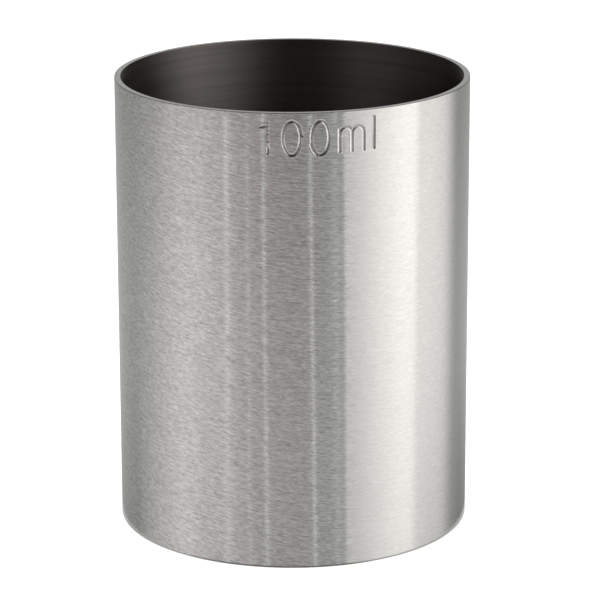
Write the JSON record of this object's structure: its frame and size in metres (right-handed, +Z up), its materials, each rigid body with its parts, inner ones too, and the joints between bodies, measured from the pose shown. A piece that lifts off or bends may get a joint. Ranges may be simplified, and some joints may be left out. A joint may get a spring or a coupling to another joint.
{
  "type": "bar jigger",
  "caption": "Straight-sided brushed steel thimble measure for spirits, open at the top, with a capacity mark engraved below the rim.",
  "frame": {"origin": "centre of the ring that the measure stands on, at the height of the surface under it", "axes": "+Z up along the tube's axis towards the open rim; -Y is the side with the capacity mark; +X is to the right when that side is faced"},
  "size_m": [0.048, 0.048, 0.062],
  "materials": {
    "brushed_tube": "brushed round the tube, satin",
    "base_plate": "satin sheet, faced in circles",
    "weld_metal": "rippled weld bead with straw heat tint"
  },
  "bodies": {
    "root": {"body_tube": "brushed_tube", "base_disc": "base_plate", "base_weld": "weld_metal"}
  },
  "joints": []
}
